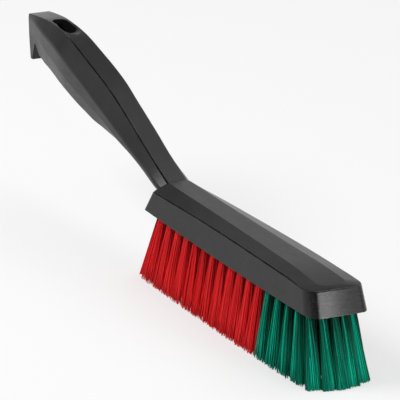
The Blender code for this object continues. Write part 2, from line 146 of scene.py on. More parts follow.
def rescale(tree, value, source, target=(0.0, 1.0), smooth=False):
    """Carries a value from one pair of ends to another, and holds it there beyond the ends."""
    inputs = {"Value": value, "From Min": source[0], "From Max": source[1]}
    inputs.update({"To Min": target[0], "To Max": target[1]})
    kind = "SMOOTHSTEP" if smooth else "LINEAR"
    return add_node(tree, "ShaderNodeMapRange", inputs, interpolation_type=kind).outputs["Result"]


def mix_colours(tree, factor, first, second, blend="MIX"):
    """The first colour at a factor of 0, and the second one laid over it at 1."""
    inputs = {"Factor": factor, "A": first, "B": second}
    return add_node(tree, "ShaderNodeMix", inputs, data_type="RGBA", blend_type=blend).outputs["Result"]


def ramp(tree, value, stops):
    """A colour ramp through (place, grey or colour) stops."""
    node = add_node(tree, "ShaderNodeValToRGB", {"Fac": value})
    while len(node.color_ramp.elements) < len(stops):
        node.color_ramp.elements.new(0.5)
    for element, (place, colour) in zip(node.color_ramp.elements, stops):
        element.position = place
        element.color = opaque(colour)
    return node.outputs["Color"]


def opaque(colour):
    """A colour of three or four numbers as one of four."""
    return tuple(colour) if len(colour) == 4 else (*colour, 1.0)


def grey(value):
    """A grey as a colour."""
    return opaque((value, value, value))


print("helpers for nodes:", [step.__name__ for step in (add_node, compute, rescale, mix_colours, ramp)])

# %% [markdown]
# Moulded plastic is never quite even: the mould leaves a fine grain, and the melt faint clouds where it
# cooled. Both could be painted, but noise in the object's own metres needs no picture and keeps its real
# size. The net is a node group, a box with named sockets, so that plastic, filaments and floor can share
# it.

# %% The grain that the finishes share
GRAIN_SIZE = 0.0004
GRAIN_DETAIL = 3.0
CLOUD_DETAIL = 2.0
GRAIN_CLOUD_SHARE = 0.045
EVEN_STRETCH = (1.0, 1.0, 1.0)


def new_group(name, inputs, outputs):
    """An empty node group with its sockets, and its two end nodes."""
    tree = bpy.data.node_groups.new(name, "ShaderNodeTree")
    for label, kind, value in inputs:
        socket = tree.interface.new_socket(label, in_out="INPUT", socket_type=kind)
        socket.default_value = value
    for label, kind in outputs:
        tree.interface.new_socket(label, in_out="OUTPUT", socket_type=kind)
    return tree, tree.nodes.new("NodeGroupInput"), tree.nodes.new("NodeGroupOutput")


def make_grain_group():
    """Grain height and slow clouds, from noise at a size in metres that can be stretched along each axis."""
    tree, start, end = new_group(
        "Moulding grain",
        [("Grain size", "NodeSocketFloat", GRAIN_SIZE), ("Stretch", "NodeSocketVector", EVEN_STRETCH)],
        [("Height", "NodeSocketFloat"), ("Clouds", "NodeSocketFloat")])
    place = add_node(tree, "ShaderNodeTexCoord").outputs["Object"]
    stretch = {0: place, 1: start.outputs["Stretch"]}
    shaped = add_node(tree, "ShaderNodeVectorMath", stretch, operation="MULTIPLY").outputs[0]
    often = compute(tree, "DIVIDE", 1.0, start.outputs["Grain size"])
    seldom = compute(tree, "MULTIPLY", often, GRAIN_CLOUD_SHARE)
    for scale, detail, output in ((often, GRAIN_DETAIL, "Height"), (seldom, CLOUD_DETAIL, "Clouds")):
        noise = add_node(tree, "ShaderNodeTexNoise", {"Vector": shaped, "Scale": scale, "Detail": detail})
        tree.links.new(noise.outputs["Fac"], end.inputs[output])
    return tree


def grain_of(tree, size, stretch=EVEN_STRETCH):
    """Places the grain group in a material's net."""
    return add_node(tree, "ShaderNodeGroup", {"Grain size": size, "Stretch": stretch}, node_tree=grain_group)


grain_group = make_grain_group()
print("group", grain_group.name, "with", len(grain_group.nodes), "nodes")

# %% [markdown]
# Handling polishes the edges of a moulding and rubs them paler. That could be painted on, but a mask that
# finds the edges follows every change of shape. The Bevel node gives a normal rounded near an edge, and
# where it differs from the true one there is an edge. Noise breaks the mask up, because wear is never a
# clean line.

# %% Where edges wear
WEAR_REACH = 0.0006
WEAR_PATCH_SIZE = 0.006
WEAR_DETAIL = 4.0
WEAR_SAMPLES = 4
EDGE_MATCH = (1.0, 0.93)
PATCH_BAND = (0.42, 0.62)


def make_wear_group():
    """A mask that is 1 on worn edges and 0 elsewhere."""
    tree, start, end = new_group(
        "Edge wear",
        [("Reach", "NodeSocketFloat", WEAR_REACH), ("Patch size", "NodeSocketFloat", WEAR_PATCH_SIZE)],
        [("Mask", "NodeSocketFloat")])
    rounded = add_node(tree, "ShaderNodeBevel", {"Radius": start.outputs["Reach"]}, samples=WEAR_SAMPLES)
    true = add_node(tree, "ShaderNodeNewGeometry")
    normals = {0: rounded.outputs[0], 1: true.outputs["Normal"]}
    match = add_node(tree, "ShaderNodeVectorMath", normals, operation="DOT_PRODUCT")
    edge = rescale(tree, match.outputs["Value"], EDGE_MATCH)
    place = add_node(tree, "ShaderNodeTexCoord").outputs["Object"]
    often = compute(tree, "DIVIDE", 1.0, start.outputs["Patch size"])
    patches = add_node(tree, "ShaderNodeTexNoise", {"Vector": place, "Scale": often, "Detail": WEAR_DETAIL})
    broken = rescale(tree, patches.outputs["Fac"], PATCH_BAND)
    tree.links.new(compute(tree, "MULTIPLY", edge, broken), end.inputs["Mask"])
    return tree


wear_group = make_wear_group()
print("group", wear_group.name, "with", len(wear_group.nodes), "nodes")

# %% [markdown]
# The body is black plastic with a satin skin. Two stretches differ: the flat face of the nose, which knocks
# into everything, and the middle of the grip, which the palm keeps dull. Each could have a material of its
# own, but a mask by distance behind the nose fades in and leaves no seam.

# %% Two stretches of the body
PALM_ZONE = (0.176, 0.196, 0.278, 0.290)
NOSE_FACE_ZONE = (-0.002, -0.001, 0.0056, 0.0068)


def distance_behind_nose(tree):
    """How far each point of the surface lies behind the nose, in metres."""
    place = add_node(tree, "ShaderNodeTexCoord").outputs["Object"]
    along = add_node(tree, "ShaderNodeSeparateXYZ", {0: place}).outputs["X"]
    return compute(tree, "SUBTRACT", nose_x, along)


def zone_mask(tree, behind_nose, zone):
    """1 between the inner two of four distances behind the nose, falling to 0 at the outer two."""
    rise = rescale(tree, behind_nose, (zone[0], zone[1]), smooth=True)
    fall = rescale(tree, behind_nose, (zone[3], zone[2]), smooth=True)
    return compute(tree, "MULTIPLY", rise, fall)


print("palm from", PALM_ZONE[0], "to", PALM_ZONE[-1], "m behind the nose")

# %% [markdown]
# The colour is laid on in the order in which the brush got it: nearly black with slow clouds, then pale
# streaks across the face of the nose, then worn edges. Round that face the edges are palest, which is wear
# and a painted highlight along them. One painted picture could hold it all, but in a chain of mix nodes each
# coat can be changed or taken out by itself.

# %% Colour of the plastic
NOISE_BAND = (0.3, 0.7)
PLASTIC_DARK = (0.0080, 0.0080, 0.0083)
PLASTIC_LIGHT = (0.0120, 0.0120, 0.0123)
PLASTIC_WORN = (0.0420, 0.0415, 0.0410)
# The edges round the nose's face are palest: wear, and a painted highlight along them.
NOSE_WEAR_AND_HIGHLIGHT = (0.1300, 0.1290, 0.1270)
RUBBED_FACE = 0.036
RUB_SIZE = 0.0005
RUB_STRETCH = (1.0, 0.06, 1.0)
RUB_BAND = (0.50, 0.72)


def plastic_colour(tree, clouds, on_face, edges):
    """Clouded black, streaks on the nose's face, paler worn edges, and a painted highlight round that face.
    """
    clouded = ramp(tree, clouds, [(NOISE_BAND[0], PLASTIC_DARK), (NOISE_BAND[1], PLASTIC_LIGHT)])
    rubs = rescale(tree, grain_of(tree, RUB_SIZE, RUB_STRETCH).outputs["Height"], RUB_BAND)
    streaked = mix_colours(tree, compute(tree, "MULTIPLY", rubs, on_face), clouded, grey(RUBBED_FACE))
    # Worn edges, with a painted highlight on those round the nose's face.
    worn = mix_colours(tree, on_face, opaque(PLASTIC_WORN), opaque(NOSE_WEAR_AND_HIGHLIGHT))
    return mix_colours(tree, edges, streaked, worn)


print("plastic from", PLASTIC_DARK[0], "to", PLASTIC_LIGHT[0], "of white")

# %% [markdown]
# A nearly black thing shows its shape by what it reflects, so roughness matters more than colour. Faint
# drag marks move it up and down, the palm leaves it rougher, and knocks leave nose and edges smoother.
# Grain and drag marks also work as bumps, because they are far too fine to model.

# %% Black moulded plastic
SKIN_GRAIN_SIZE = 0.00035
DRAG_SIZE = 0.0006
DRAG_STRETCH = (0.04, 1.0, 1.0)
PLASTIC_ROUGHNESS = (0.26, 0.36)
PALM_EXTRA_ROUGHNESS = 0.10
NOSE_EXTRA_ROUGHNESS = -0.12
WORN_EXTRA_ROUGHNESS = -0.10
SKIN_BUMP = {"Strength": 0.35, "Distance": 0.00006}
DRAG_BUMP = {"Strength": 0.20, "Distance": 0.00005}
PLASTIC_SPECULAR = 0.28


def new_material(name):
    """A material with its net and its Principled shader."""
    material = bpy.data.materials.new(name)
    material.use_nodes = True
    return material, material.node_tree, material.node_tree.nodes["Principled BSDF"]


def black_plastic():
    """Satin black plastic with grain, clouds, drag marks and worn edges."""
    material, tree, shader = new_material("Black moulded plastic")
    grain = grain_of(tree, SKIN_GRAIN_SIZE)
    drag = grain_of(tree, DRAG_SIZE, DRAG_STRETCH).outputs["Height"]
    edges = add_node(tree, "ShaderNodeGroup", node_tree=wear_group).outputs["Mask"]
    behind_nose = distance_behind_nose(tree)
    on_face = zone_mask(tree, behind_nose, NOSE_FACE_ZONE)
    in_palm = zone_mask(tree, behind_nose, PALM_ZONE)
    colour = plastic_colour(tree, grain.outputs["Clouds"], on_face, edges)
    tree.links.new(colour, shader.inputs["Base Color"])
    rough = rescale(tree, drag, NOISE_BAND, PLASTIC_ROUGHNESS)
    extras = (in_palm, PALM_EXTRA_ROUGHNESS), (on_face, NOSE_EXTRA_ROUGHNESS), (edges, WORN_EXTRA_ROUGHNESS)
    for mask, extra in extras:
        rough = compute(tree, "MULTIPLY_ADD", mask, extra, rough)
    tree.links.new(rough, shader.inputs["Roughness"])
    skin = add_node(tree, "ShaderNodeBump", {"Height": grain.outputs["Height"], **SKIN_BUMP})
    dragged = add_node(tree, "ShaderNodeBump", {"Height": drag, "Normal": skin.outputs[0], **DRAG_BUMP})
    tree.links.new(dragged.outputs[0], shader.inputs["Normal"])
    shader.inputs["Specular IOR Level"].default_value = PLASTIC_SPECULAR
    return material


plastic = black_plastic()
print("material", plastic.name, "with", len(plastic.node_tree.nodes), "nodes")

# %% [markdown]
# Block and grip are both lofts: closed outlines, stacked and skinned. A loft suits a moulding whose section
# changes all the way, where an extrusion would need many cuts. The sizes are the solid's, with many more
# points. Edges that the mould rounds get a weight, and a Bevel modifier rounds them by it.

# %% A loft with weighted edges
EDGE_SEGMENTS = 4


def flat_cap(bm, row):
    """Closes a row of points with one face."""
    bm.faces.new(row)


def loft(rings, end_weights, weights_along=(), cap=flat_cap):
    """Skins closed rings of points. Bevel weights are given for both ends and for the edges between them."""
    bm = bmesh.new()
    rows = [[bm.verts.new(point) for point in ring] for ring in rings]
    count = len(rows[0])
    layer = bm.edges.layers.float.new("bevel_weight_edge")
    for lower, upper in zip(rows, rows[1:]):
        for i in range(count):
            j = (i + 1) % count
            bm.faces.new((lower[i], lower[j], upper[j], upper[i]))
    flat_cap(bm, rows[0])
    cap(bm, rows[-1])
    for lower, upper in zip(rows, rows[1:]):
        for a, b, weight in zip(lower, upper, weights_along):
            bm.edges.get((a, b))[layer] = weight
    for row, weight in ((rows[0], end_weights[0]), (rows[-1], end_weights[1])):
        for i in range(count):
            bm.edges.get((row[i], row[(i + 1) % count]))[layer] = weight
    bmesh.ops.recalc_face_normals(bm, faces=bm.faces)
    return bm


def mesh_object(name, bm):
    """Turns a bmesh into an object in the scene."""
    mesh = bpy.data.meshes.new(name)
    bm.to_mesh(mesh)
    bm.free()
    return add_object(name, mesh)


def round_edges(item, width):
    """Rounds the weighted edges over several segments."""
    bevel = item.modifiers.new("Moulded edges", "BEVEL")
    bevel.limit_method = "WEIGHT"
    bevel.width = width
    bevel.segments = EDGE_SEGMENTS


print("rounded edges get", EDGE_SEGMENTS, "segments")

# %% [markdown]
# The block is widest at its foot. Its side walls lean in, a sloping band leads from them to a narrow crown,
# and a hair-fine groove marks where wall and band meet. It could be cut from a box, but then every edge
# would be moved by hand, and here each size can be changed by itself.

# %% Sizes of the block
BLOCK_LENGTH = 0.1742
BLOCK_WIDTH = 0.0356
HEEL_NARROWING = 0.0011
NOSE_NARROWING = 0.0012
SIDE_HEIGHT = 0.0123
TOP_HEIGHT = 0.0143
SIDE_DRAFT = 0.0018
NOSE_DRAFT_CUT = 0.0011
NOSE_RUN = 0.030
NOSE_CORNER_DROP = 0.0006
HEEL_SIDE_INSET = 0.0023
HEEL_SIDE_DROP = 0.0030
NOSE_DRAFT = 0.0045
HEEL_DRAFT = 0.0010
HEEL_RADIUS = 0.0024
TOP_FLAT_WIDTH = 0.0116
TOP_FLAT_SPREAD = 0.0023
TOP_FRONT_SETBACK = 0.0040
TOP_REAR_SETBACK = 0.0030
TOP_CORNER_RADIUS = 0.0035
# At the nose: how far the corner runs, how far it reaches in, its turn, and the bow of the front.
FOOT_NOSE = (0.0078, 0.0044, math.radians(82), 0.0006)
SIDE_NOSE = (0.0070, 0.0040, math.radians(80), 0.0012)
CROWN_NOSE = (0.0035, 0.0035, math.radians(79), 0.0013)
CROWN_ROLL_LENGTH = 0.0450
CROWN_ROLL_DROP = 0.0022
BLOCK_EDGE_RADIUS = 0.0010
FOOT_EDGE_SHARE = 0.5
INSET_END_SHARE = 0.72
DROP_START_SHARE = 0.25
SPREAD_END_SHARE = 0.80
SIDE_STEPS = 36
CORNER_STEPS = 10
FRONT_STEPS = 8
CREASE_WIDTH = 0.0009
CREASE_DEPTH = 0.0008
CREASE_FADE = (-0.020, -0.009)
NOSE_EDGE_WIDTH = 0.0016
NOSE_EDGE_DEPTH = 0.0002

print("block", BLOCK_LENGTH, "m long and", BLOCK_WIDTH, "m wide at its foot")

# %% [markdown]
# Widths and heights change along the block, so each is a small function of the place. A table would do, but
# a square makes a change start gently, and a share held between 0 and 1 keeps it to one stretch.

# %% Widths and heights along the block


def block_half_width(x):
    """Half width at the foot, a little bowed along the block."""
    middle = -BLOCK_LENGTH / 2
    bow = (x - middle) / middle
    return BLOCK_WIDTH / 2 - (NOSE_NARROWING if bow < 0 else HEEL_NARROWING) * bow * bow


def rear_share(x, start_share, end_share=1.0):
    """0 in front of the start, rising evenly to 1 at the end, both as shares of the block's length."""
    share = (-x / BLOCK_LENGTH - start_share) / (end_share - start_share)
    return min(1.0, max(0.0, share))


def side_half_width(x):
    """Half width at the top of the side wall, which leans in more towards the heel and less at the nose."""
    share = rear_share(x, 0.0, INSET_END_SHARE)
    eased = share * share * (3 - 2 * share)
    draft = SIDE_DRAFT - NOSE_DRAFT_CUT * max(0.0, 1 + x / NOSE_RUN)
    return block_half_width(x) - draft - HEEL_SIDE_INSET * eased


def side_height(x, y):
    """Height of the side wall, which falls away towards the heel and a little towards the nose's corners."""
    corner = max(0.0, 1 + x / NOSE_RUN) * (2 * y / BLOCK_WIDTH) ** 2
    return SIDE_HEIGHT - HEEL_SIDE_DROP * rear_share(x, DROP_START_SHARE) ** 2 - NOSE_CORNER_DROP * corner


def top_half_width(x):
    """Half width of the flat crown, which spreads towards the nose."""
    return TOP_FLAT_WIDTH / 2 + TOP_FLAT_SPREAD * (1 - rear_share(x, 0.0, SPREAD_END_SHARE)) ** 2


def crown_height(x, y):
    """Height of the crown, which is level from the heel on and rolls down towards the nose."""
    rolled = max(0.0, 1 + x / CROWN_ROLL_LENGTH)
    return TOP_HEIGHT - CROWN_ROLL_DROP * rolled * rolled


half_widths = (block_half_width, side_half_width, top_half_width)
widths = [round(2 * half_width(-BLOCK_LENGTH / 2), 4) for half_width in half_widths]
print("widths at the middle of the block, from the foot up", widths)

# %% [markdown]
# A plan outline is written as one half and mirrored, so that both sides are surely alike. At the heel its
# corner is a small round. At the nose it turns on a longer arc that stops short of square and meets the
# gently bowed front at a soft edge, which catches the light.

# %% Outlines of the block


def half_outline(front, rear, half_width, nose, heel_radius):
    """One side of a plan outline, from the middle of the heel to the middle of the nose."""
    nose_run, nose_reach, corner_turn, bulge = nose
    points = [(rear, 0.0)]
    heel_x = rear + heel_radius
    heel_y = half_width(heel_x) - heel_radius
    for i in range(CORNER_STEPS):
        turn = math.pi / 2 * i / CORNER_STEPS
        points.append((heel_x - heel_radius * math.cos(turn), heel_y + heel_radius * math.sin(turn)))
    start_x = front - bulge - nose_run
    for i in range(SIDE_STEPS + 1):
        x = heel_x + (start_x - heel_x) * i / SIDE_STEPS
        points.append((x, half_width(x)))
    widest = half_width(start_x)
    nose_y = widest - nose_reach
    for i in range(1, CORNER_STEPS + 1):
        turn = corner_turn * i / CORNER_STEPS
        y = widest - nose_reach * (1 - math.cos(turn)) / (1 - math.cos(corner_turn))
        x = start_x + nose_run * math.sin(turn) / math.sin(corner_turn)
        points.append((x + bulge * (1 - (y / widest) ** 2), y))
    for i in range(1, FRONT_STEPS + 1):
        y = nose_y * (1 - i / FRONT_STEPS)
        points.append((front - bulge * (y / widest) ** 2, y))
    return points


def full_outline(half, height):
    """Mirrors a half outline and lifts each point to its height."""
    right = [Vector((x, -y, foot_z + height(x, y))) for x, y in half]
    left = [Vector((x, y, foot_z + height(x, y))) for x, y in reversed(half[1:-1])]
    return right + left


foot_half = half_outline(0.0, -BLOCK_LENGTH, block_half_width, FOOT_NOSE, HEEL_RADIUS)
print("half outline of the foot with", len(foot_half), "points")

# %% [markdown]
# The block is one loft through its foot, the top of its walls and its crown. The groove could be cut out
# afterwards, but three rings close together make it in the same skin, and towards the nose they fade into a
# rounded edge. The crown rolls, so strips from side to side close it, where one flat face can't.

# %% The block


def crease_rings(below, crease, above):
    """Three rings along a crease: a fine groove on the sides and a rounded edge round the nose."""
    rings = [[], [], []]
    for low, edge, high in zip(below, crease, above):
        nose_share = float(np.interp(edge.x, CREASE_FADE, (0.0, 1.0)))
        width = CREASE_WIDTH + (NOSE_EDGE_WIDTH - CREASE_WIDTH) * nose_share
        depth = CREASE_DEPTH + (NOSE_EDGE_DEPTH - CREASE_DEPTH) * nose_share
        before = edge + (low - edge).normalized() * width / 2
        after = edge + (high - edge).normalized() * width / 2
        bottom = edge + ((before + after) / 2 - edge).normalized() * depth
        for ring, point in zip(rings, (before, bottom, after)):
            ring.append(point)
    return rings


def rolled_cap(bm, row):
    """Closes the crown with strips that cross it from side to side."""
    for i in range(len(row) // 2):
        bm.faces.new(list(dict.fromkeys((row[i], row[i + 1], row[-i - 1], row[-i]))))


def make_block():
    """The tuft block: foot, top of the side walls and crown, lofted upwards."""
    front, rear = -NOSE_DRAFT, -BLOCK_LENGTH + HEEL_DRAFT
    side_half = half_outline(front, rear, side_half_width, SIDE_NOSE, HEEL_RADIUS)
    crown_ends = front - TOP_FRONT_SETBACK, rear + TOP_REAR_SETBACK
    crown_half = half_outline(*crown_ends, top_half_width, CROWN_NOSE, TOP_CORNER_RADIUS)
    foot = full_outline(foot_half, lambda x, y: 0.0)
    side = full_outline(side_half, side_height)
    crown = full_outline(crown_half, crown_height)
    rings = [foot, *crease_rings(foot, side, crown), crown]
    item = mesh_object("brush_body_moulding", loft(rings, (FOOT_EDGE_SHARE, 1.0), cap=rolled_cap))
    round_edges(item, BLOCK_EDGE_RADIUS)
    return item


body = make_block()
print("block with", len(body.data.polygons), "faces before its edges are rounded")

# %% [markdown]
# The grip rises from the block in an arch and ends in a hook. Its section has eight corners and changes all
# the way. A few stations are given as shares of its length, rise, width and depth, so that the whole grip
# follows when one of those changes. Rows go from the block to the hook.

# %% Sizes of the grip
BODY_LENGTH = body_high.x - body_low.x
GRIP_ROOT_SINK = 0.0132
GRIP_RISE = 0.06016
GRIP_WIDTH = 0.0236
GRIP_DEPTH = 0.0268
GRIP_TOP_WIDTH = 0.0112
GRIP_EDGE_RADIUS = 0.0022
GRIP_END_EDGE_SHARE = 0.4
GRIP_STEPS = 80
# Back, up and crown width, then width and depth of the wide corner, of the low one and of the sole.
GRIP_SHARES = (
    (0.000, -0.096, 0.82, 0.57, 0.10, 0.53, 0.17, 0.36, 0.24),
    (0.066, 0.015, 0.93, 0.81, 0.15, 0.77, 0.24, 0.54, 0.32),
    (0.166, 0.177, 0.93, 0.77, 0.23, 0.72, 0.33, 0.51, 0.42),
    (0.237, 0.300, 0.96, 0.81, 0.28, 0.74, 0.40, 0.52, 0.50),
    (0.312, 0.431, 0.95, 0.86, 0.30, 0.78, 0.50, 0.54, 0.61),
    (0.385, 0.554, 0.95, 0.92, 0.32, 0.83, 0.54, 0.58, 0.76),
    (0.456, 0.667, 1.00, 0.97, 0.34, 0.87, 0.60, 0.64, 0.89),
    (0.528, 0.755, 1.02, 0.99, 0.32, 0.90, 0.62, 0.68, 0.94),
    (0.606, 0.838, 1.00, 1.00, 0.31, 0.91, 0.66, 0.69, 0.98),
    (0.730, 0.957, 0.94, 0.95, 0.30, 0.87, 0.65, 0.66, 1.00),
    (0.856, 0.996, 0.98, 0.81, 0.23, 0.77, 0.54, 0.59, 0.90),
    (0.936, 0.978, 1.02, 0.69, 0.12, 0.65, 0.41, 0.53, 0.91),
    (1.000, 0.947, 1.07, 0.53, 0.11, 0.53, 0.41, 0.50, 0.92),
)
# How round the edges along the grip are, from one edge of the crown round the sole to the other.
GRIP_EDGE_SHARES = (0.0, 0.0, 0.0, 1.0, 0.6, 0.8, 0.8, 0.6, 1.0, 0.0, 0.0, 0.0)
GROOVE_WIDTH = 0.0010
GROOVE_DEPTH = 0.0007
GROOVE_FADE_SHARES = (0.67, 0.80)

print("grip table with", len(GRIP_SHARES), "stations of", len(GRIP_SHARES[0]), "shares each")

# %% [markdown]
# A hand that slides along the real grip finds no kink, so a smooth curve is run through the stations. The
# kind used here passes through every row that it is given, where a curve with handles would need them set
# one by one. Its points are then spaced evenly, so that no stretch is coarser than another.

# %% The smooth curve through the stations


def smooth_rows(rows, steps):
    """A smooth curve through rows of numbers, spaced evenly along its first two columns."""
    rows = np.array(rows)
    padded = np.vstack([2 * rows[0] - rows[1], rows, 2 * rows[-1] - rows[-2]])
    fine = []
    for i in range(len(rows) - 1):
        a, b, c, d = padded[i:i + 4]
        for t in np.linspace(0, 1, steps, endpoint=False):
            fine.append(0.5 * (2 * b + (c - a) * t + (2 * a - 5 * b + 4 * c - d) * t ** 2
                               + (3 * b - a - 3 * c + d) * t ** 3))
    fine.append(rows[-1])
    fine = np.array(fine)
    run = np.concatenate([[0.0], np.cumsum(np.linalg.norm(np.diff(fine[:, :2], axis=0), axis=1))])
    stops = np.linspace(0, run[-1], steps + 1)
    return np.stack([np.interp(stops, run, column) for column in fine.T], axis=1)


def grip_rows():
    """The stations as lengths, smoothed along the crown line."""
    root = BLOCK_LENGTH - GRIP_ROOT_SINK
    reach = BODY_LENGTH - root
    climb = GRIP_RISE - TOP_HEIGHT
    width, depth = GRIP_WIDTH / 2, GRIP_DEPTH
    rows = []
    for back, up, crown, wide, wide_down, low, low_down, sole, sole_down in GRIP_SHARES:
        rows.append((
            -root - reach * back, TOP_HEIGHT + climb * up, GRIP_TOP_WIDTH / 2 * crown,
            width * wide, depth * wide_down, width * low, depth * low_down, width * sole, depth * sole_down))
    return smooth_rows(rows, GRIP_STEPS)


def grip_crown(x):
    """Height of the grip's top face at a place along the brush."""
    order = np.argsort(stations[:, 0])
    return foot_z + float(np.interp(x, stations[order, 0], stations[order, 1]))


stations = grip_rows()
print("grip stations", len(stations), "highest crown", round(foot_z + float(stations[:, 1].max()), 5))

# %% [markdown]
# Each section stands square to the arch, as the steel of the mould does. Upright sections would be simpler,
# but would thin the grip where it is steep. Below each edge of the crown runs a fine groove, which fades
# out before the slot.

# %% The grip


def grip_section(row, along_share):
    """Half of a section from the crown down to the sole, with a groove that fades out before the slot."""
    crown = Vector((row[2], 0.0))
    wide = Vector((row[3], row[4]))
    slope = (wide - crown).normalized()
    outer = crown + slope * GROOVE_WIDTH
    depth = GROOVE_DEPTH * float(np.interp(along_share, GROOVE_FADE_SHARES, (1.0, 0.0)))
    bottom = crown + slope * GROOVE_WIDTH / 2 + Vector((-slope.y, slope.x)) * depth
    return [crown, bottom, outer, wide, Vector((row[5], row[6])), Vector((row[7], row[8]))]


def make_grip():
    """Sections square to the arched crown line, lofted from the block to the hook."""
    rings = []
    for i, row in enumerate(stations):
        before, after = stations[max(i - 1, 0)], stations[min(i + 1, len(stations) - 1)]
        along = Vector((after[0] - before[0], 0.0, after[1] - before[1])).normalized()
        down = Vector((-along.z, 0.0, along.x))
        top = Vector((row[0], 0.0, row[1] + foot_z))
        half = grip_section(row, i / GRIP_STEPS)
        section = [(-point.x, point.y) for point in half] + [(point.x, point.y) for point in reversed(half)]
        rings.append([top + Vector((0.0, y, 0.0)) + down * fall for y, fall in section])
    item = mesh_object("grip_form", loft(rings, (0.0, GRIP_END_EDGE_SHARE), GRIP_EDGE_SHARES))
    round_edges(item, GRIP_EDGE_RADIUS)
    return item


grip = make_grip()
print("grip with", len(grip.data.polygons), "faces before its edges are rounded")

# %% [markdown]
# A slot goes through the hook end, with a shallow dish round its front, and a notch under the end leaves a
# beak. Each is a form that is taken away from the moulding. Boolean cuts are right here, because steel that
# the plastic flows round makes the real ones in the same way.

# %% Sizes of the openings
OVERRUN = 0.004
SLOT_LENGTH = 0.0185
SLOT_WIDTH = 0.0082
SLOT_SETBACK = 0.0308
SLOT_STEPS = 24
DISH_LENGTH = 0.0300
DISH_WIDTH = 0.0135
DISH_DEPTH = 0.0017
DISH_RADIUS = 0.0055
DISH_SHIFT = 0.0050
DISH_SIDES = 64
NOTCH_SETBACK = 0.0103
NOTCH_ROOF = 0.0149
NOTCH_RADIUS = 0.0010
NOTCH_PALM_RUN = 0.0049
NOTCH_RUNOUT = 0.0313
NOTCH_RUNOUT_DROP = 0.0139
BEAK_LENGTH = 0.0112
BEAK_TIP_SETBACK = 0.0048

print("slot", SLOT_LENGTH, "by", SLOT_WIDTH, "m and a beak", BEAK_LENGTH, "m long")

# %% [markdown]
# Slot and notch keep one outline all the way through, as the steel pins of a mould do. Each form could be
# built corner by corner, but it is less work to draw the outline once and push it along an axis, which
# Blender calls extruding.

# %% A form from a flat outline


def extruded(name, outline, low, high, axis):
    """A closed outline of (x, other) pairs, extruded along Y or Z from low to high."""
    bm = bmesh.new()
    if axis == "Y":
        vertices = [bm.verts.new((a, low, b)) for a, b in outline]
        travel = Vector((0.0, high - low, 0.0))
    else:
        vertices = [bm.verts.new((a, b, low)) for a, b in outline]
        travel = Vector((0.0, 0.0, high - low))
    face = bm.faces.new(vertices)
    grown = bmesh.ops.extrude_face_region(bm, geom=[face])["geom"]
    moved = [part for part in grown if isinstance(part, bmesh.types.BMVert)]
    bmesh.ops.translate(bm, verts=moved, vec=travel)
    bmesh.ops.recalc_face_normals(bm, faces=bm.faces)
    return mesh_object(name, bm)


print("grip's top face over the slot at z =", round(grip_crown(SLOT_SETBACK - BODY_LENGTH), 5))

# %% [markdown]
# The slot is a long hole with round ends, pushed through the grip as an outline, because a cylinder would
# only make the ends. The dish is a ball, stretched, tilted as the top face is and sunk a little into it. It
# leads a hook into the slot.

# %% The slot and its dish


def slot_form():
    """The long hole that the brush hangs by."""
    middle = SLOT_SETBACK - BODY_LENGTH
    radius = SLOT_WIDTH / 2
    straight = (SLOT_LENGTH - SLOT_WIDTH) / 2
    outline = []
    for centre, start in ((middle + straight, -math.pi / 2), (middle - straight, math.pi / 2)):
        for i in range(SLOT_STEPS + 1):
            turn = start + math.pi * i / SLOT_STEPS
            outline.append((centre + radius * math.cos(turn), radius * math.sin(turn)))
    crown = grip_crown(middle)
    return extruded("slot_form", outline, crown - GRIP_DEPTH - OVERRUN, crown + OVERRUN, "Z")


def dish_form():
    """The shallow dish in the top face, in front of the slot."""
    middle = SLOT_SETBACK - BODY_LENGTH + DISH_SHIFT
    ahead = grip_crown(middle + DISH_LENGTH / 2)
    behind = grip_crown(middle - DISH_LENGTH / 2)
    tilt = math.atan2(behind - ahead, DISH_LENGTH)
    bm = bmesh.new()
    bmesh.ops.create_uvsphere(bm, u_segments=DISH_SIDES, v_segments=DISH_SIDES // 2, radius=1.0)
    scale = Matrix.Diagonal((DISH_LENGTH / 2, DISH_WIDTH / 2, DISH_RADIUS, 1.0))
    place = Matrix.Translation((middle, 0.0, grip_crown(middle) + DISH_RADIUS - DISH_DEPTH))
    bmesh.ops.transform(bm, matrix=place @ Matrix.Rotation(tilt, 4, "Y") @ scale, verts=bm.verts)
    return mesh_object("dish_form", bm)


slot = slot_form()
dish = dish_form()
print("slot form with", len(slot.data.polygons), "faces and dish form with", len(dish.data.polygons))

# %% [markdown]
# The notch is one bent outline pushed through from side to side: down the inside of the beak, over a blunt
# roof and out along the palm side. The brush hangs from the rim of a bucket by it. One outline lets beak
# and palm meet in a clean line, which two cuts might miss.

# %% The notch


def notch_form():
    """The notch under the end: down the inside of the beak, and out along the palm side."""
    apex_x = NOTCH_SETBACK - BODY_LENGTH
    tip_x = BEAK_TIP_SETBACK - BODY_LENGTH
    apex = grip_crown(apex_x) - NOTCH_ROOF
    runout = apex - NOTCH_RUNOUT_DROP
    outline = [(tip_x, runout), (tip_x, apex - BEAK_LENGTH), (apex_x - NOTCH_RADIUS, apex - NOTCH_RADIUS)]
    outline += [(apex_x, apex), (apex_x + NOTCH_RADIUS, apex)]
    outline += [(apex_x + NOTCH_PALM_RUN, apex - NOTCH_PALM_RUN), (apex_x + NOTCH_RUNOUT, runout)]
    return extruded("notch_form", outline, -GRIP_WIDTH, GRIP_WIDTH, "Y")


openings = [slot, dish, notch_form()]
print("openings", [item.name for item in openings])

# %% [markdown]
# Every tuft sits in a blind hole that leans with it. The solids already say where: the middles of a tuft's
# root and tip are read from its node's mesh, which is surer than working them out again. From here on a
# tuft is its name, mouth, tip and reach.

# %% Where the tufts are
FLOOR_BAND = 0.0004


